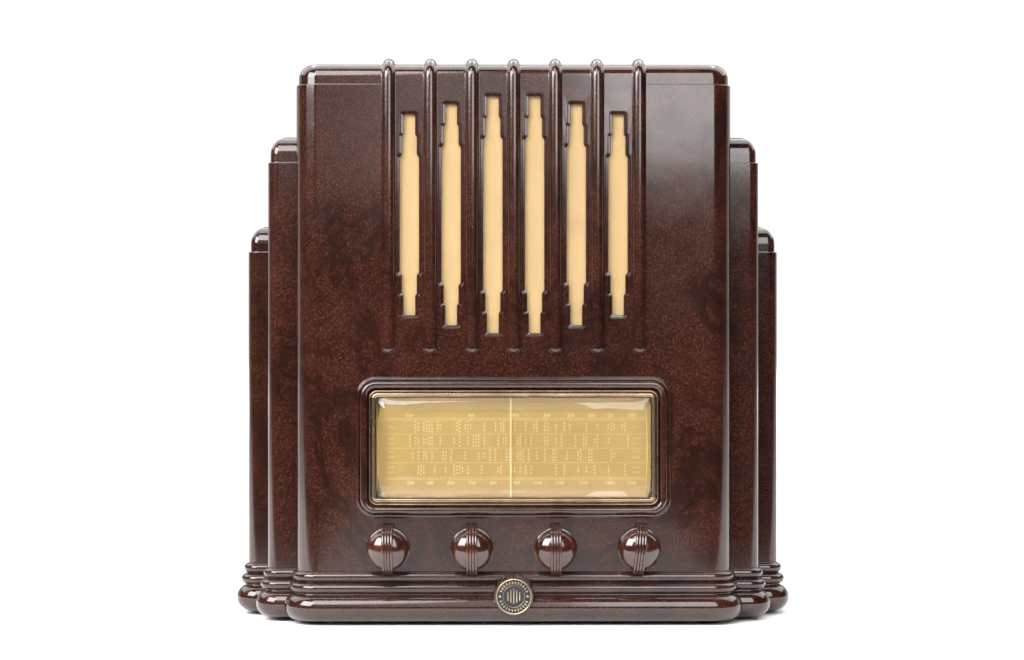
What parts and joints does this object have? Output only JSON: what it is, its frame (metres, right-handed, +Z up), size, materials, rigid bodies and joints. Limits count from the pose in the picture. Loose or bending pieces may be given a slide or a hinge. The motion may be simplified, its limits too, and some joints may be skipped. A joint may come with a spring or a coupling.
{
  "type": "tabletop radio",
  "caption": "Mantel radio in a stepped, ribbed dark moulded case with a wide lit dial, domed turning knobs and a working tuning drive, speaker and chassis inside.",
  "frame": {"origin": "centre of the bounding box's footprint, on the surface the feet stand on", "axes": "+Z up, the dial and knobs face -Y, +X to the right as seen from the front"},
  "size_m": [0.4374, 0.28, 0.4317],
  "materials": {
    "bakelite": "polished red-brown moulding with dark mottling",
    "knob_plastic": "polished dark brown moulding",
    "valve_base_plastic": "dark moulded base",
    "bezel_brass": "aged lacquered brass",
    "badge_enamel": "brass relief on dark enamel",
    "pointer_brass": "bright brass",
    "shaft_steel": "turned steel",
    "chassis_steel": "dull plated steel",
    "can_aluminium": "drawn aluminium",
    "black_paint": "satin black enamel",
    "clear_glass": "clear, slightly domed",
    "valve_glass": "clear glass with a silvered getter",
    "scale_print": "gold lacquer with cream print",
    "grille_cloth": "fine gold weave",
    "board": "pressed wood fibre",
    "cone_paper": "dark pressed paper",
    "winding_paper": "waxed paper over the winding",
    "rubber": "black rubber"
  },
  "bodies": {
    "case": {"cabinet_shell": "bakelite", "speaker_cloth": "grille_cloth", "baffle_board": "board", "speaker_frame": "black_paint", "field_coil": "black_paint", "output_transformer": "black_paint", "dial_bezel": "bezel_brass", "dial_glass": "clear_glass", "dial_scale": "scale_print", "pointer_rail": "shaft_steel", "dial_backplate": "chassis_steel", "dial_lamp_left": "clear_glass", "dial_lamp_right": "clear_glass", "badge": "badge_enamel", "chassis": "chassis_steel", "gang_frame": "chassis_steel", "transformer_core": "black_paint", "transformer_winding": "winding_paper", "back_cover": "board", "mains_grommet": "rubber", "terminal_strip": "valve_base_plastic", "tone_control": "shaft_steel", "volume_control": "shaft_steel", "tuning_bush": "bezel_brass", "band_switch": "shaft_steel", "converter_valve_base": "valve_base_plastic", "converter_valve": "valve_glass", "if_valve_base": "valve_base_plastic", "if_valve": "valve_glass", "detector_valve_base": "valve_base_plastic", "detector_valve": "valve_glass", "output_valve_base": "valve_base_plastic", "output_valve": "valve_glass", "rectifier_valve_base": "valve_base_plastic", "rectifier_valve": "valve_glass", "if_can_front": "can_aluminium", "if_can_rear": "can_aluminium", "filter_can_front": "can_aluminium", "filter_can_rear": "can_aluminium", "back_screw_1": "shaft_steel", "back_screw_2": "shaft_steel", "back_screw_3": "shaft_steel", "back_screw_4": "shaft_steel", "foot_front_left": "rubber", "foot_front_right": "rubber", "foot_rear_left": "rubber", "foot_rear_right": "rubber"},
    "tone": {"tone_knob": "knob_plastic", "tone_shaft": "shaft_steel"},
    "volume": {"volume_knob": "knob_plastic", "volume_shaft": "shaft_steel"},
    "tuning": {"tuning_knob": "knob_plastic", "tuning_shaft": "shaft_steel"},
    "band": {"band_knob": "knob_plastic", "band_shaft": "shaft_steel"},
    "gang": {"gang_rotor": "can_aluminium", "drive_drum": "can_aluminium"},
    "pointer": {"dial_pointer": "pointer_brass"},
    "cone": {"speaker_cone": "cone_paper"}
  },
  "joints": [
    {"name": "tone_turn", "type": "hinge", "parent": "case", "child": "tone", "pos_m": [-0.09525, -0.11495, 0.0582], "axis": [0, 1, 0], "range_deg": [-140, 140]},
    {"name": "volume_turn", "type": "hinge", "parent": "case", "child": "volume", "pos_m": [-0.03175, -0.11495, 0.0582], "axis": [0, 1, 0], "range_deg": [-140, 140]},
    {"name": "gang_turn", "type": "hinge", "parent": "case", "child": "gang", "pos_m": [0, -0.08795, 0.14], "axis": [0, 1, 0], "range_deg": [-87.82, 92.18]},
    {"name": "tuning_turn", "type": "hinge", "parent": "case", "child": "tuning", "pos_m": [0.03175, -0.11495, 0.0582], "axis": [0, 1, 0], "range_deg": [-1063.3, 1116]},
    {"name": "pointer_slide", "type": "slide", "parent": "case", "child": "pointer", "axis": [1, 0, 0], "range_m": [-0.0928, 0.0974]},
    {"name": "band_turn", "type": "hinge", "parent": "case", "child": "band", "pos_m": [0.09525, -0.11495, 0.0582], "axis": [0, 1, 0], "range_deg": [-45, 45]},
    {"name": "cone_move", "type": "slide", "parent": "case", "child": "cone", "axis": [0, 1, 0], "range_m": [-0.0015, 0.0015], "stiffness_N_per_m": 2000}
  ],
  "couplings": [
    {"joint": "pointer_slide", "follows": "gang_turn", "m_per_rad": 0.060479},
    {"joint": "tuning_turn", "follows": "gang_turn", "ratio": 12.096}
  ]
}
